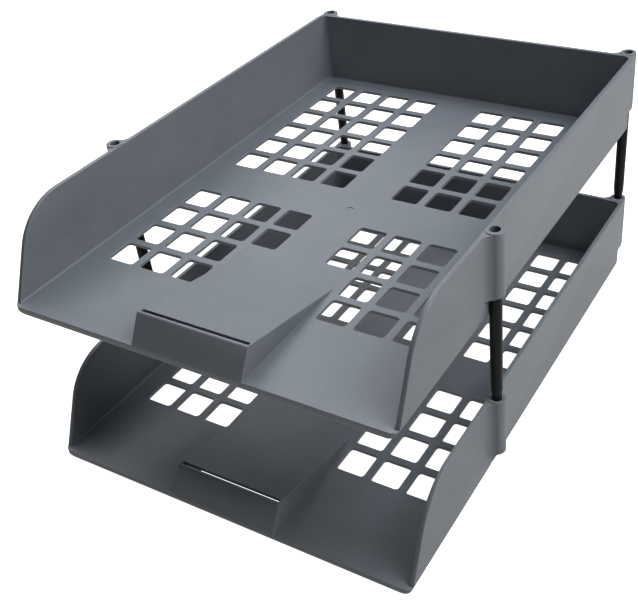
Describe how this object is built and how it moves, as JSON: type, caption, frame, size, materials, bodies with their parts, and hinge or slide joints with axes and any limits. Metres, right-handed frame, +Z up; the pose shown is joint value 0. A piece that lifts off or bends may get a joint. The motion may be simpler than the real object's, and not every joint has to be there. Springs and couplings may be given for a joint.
{
  "type": "letter tray",
  "caption": "Stacking letter tray: open-front grey desk trays with perforated floors and a raised label ramp, held one above another by black plug-in riser posts.",
  "frame": {"origin": "centre of the footprint on the desk surface, under the lower tray", "axes": "+Z up; +Y towards the closed back wall, along the paper's long side; +X to the right seen from the open front"},
  "size_m": [0.2688, 0.354, 0.1724],
  "materials": {
    "tray_grey": "fine satin moulded polystyrene, cool grey",
    "riser_black": "satin moulded plastic, black"
  },
  "bodies": {
    "lower": {"lower_tray": "tray_grey"},
    "upper": {"upper_tray": "tray_grey"},
    "post_front_left": {"riser_front_left": "riser_black"},
    "post_front_right": {"riser_front_right": "riser_black"},
    "post_rear_left": {"riser_rear_left": "riser_black"},
    "post_rear_right": {"riser_rear_right": "riser_black"}
  },
  "joints": [
    {"name": "upper_tray_lift", "type": "slide", "parent": "lower", "child": "upper", "axis": [0, 0, 1], "range_m": [0, 0.06]},
    {"name": "riser_front_left_lift", "type": "slide", "parent": "lower", "child": "post_front_left", "axis": [0, 0, 1], "range_m": [0, 0.03]},
    {"name": "riser_front_right_lift", "type": "slide", "parent": "lower", "child": "post_front_right", "axis": [0, 0, 1], "range_m": [0, 0.03]},
    {"name": "riser_rear_left_lift", "type": "slide", "parent": "lower", "child": "post_rear_left", "axis": [0, 0, 1], "range_m": [0, 0.03]},
    {"name": "riser_rear_right_lift", "type": "slide", "parent": "lower", "child": "post_rear_right", "axis": [0, 0, 1], "range_m": [0, 0.03]}
  ],
  "couplings": [
    {"joint": "riser_front_left_lift", "follows": "upper_tray_lift", "ratio": 0.5},
    {"joint": "riser_front_right_lift", "follows": "upper_tray_lift", "ratio": 0.5},
    {"joint": "riser_rear_left_lift", "follows": "upper_tray_lift", "ratio": 0.5},
    {"joint": "riser_rear_right_lift", "follows": "upper_tray_lift", "ratio": 0.5}
  ]
}
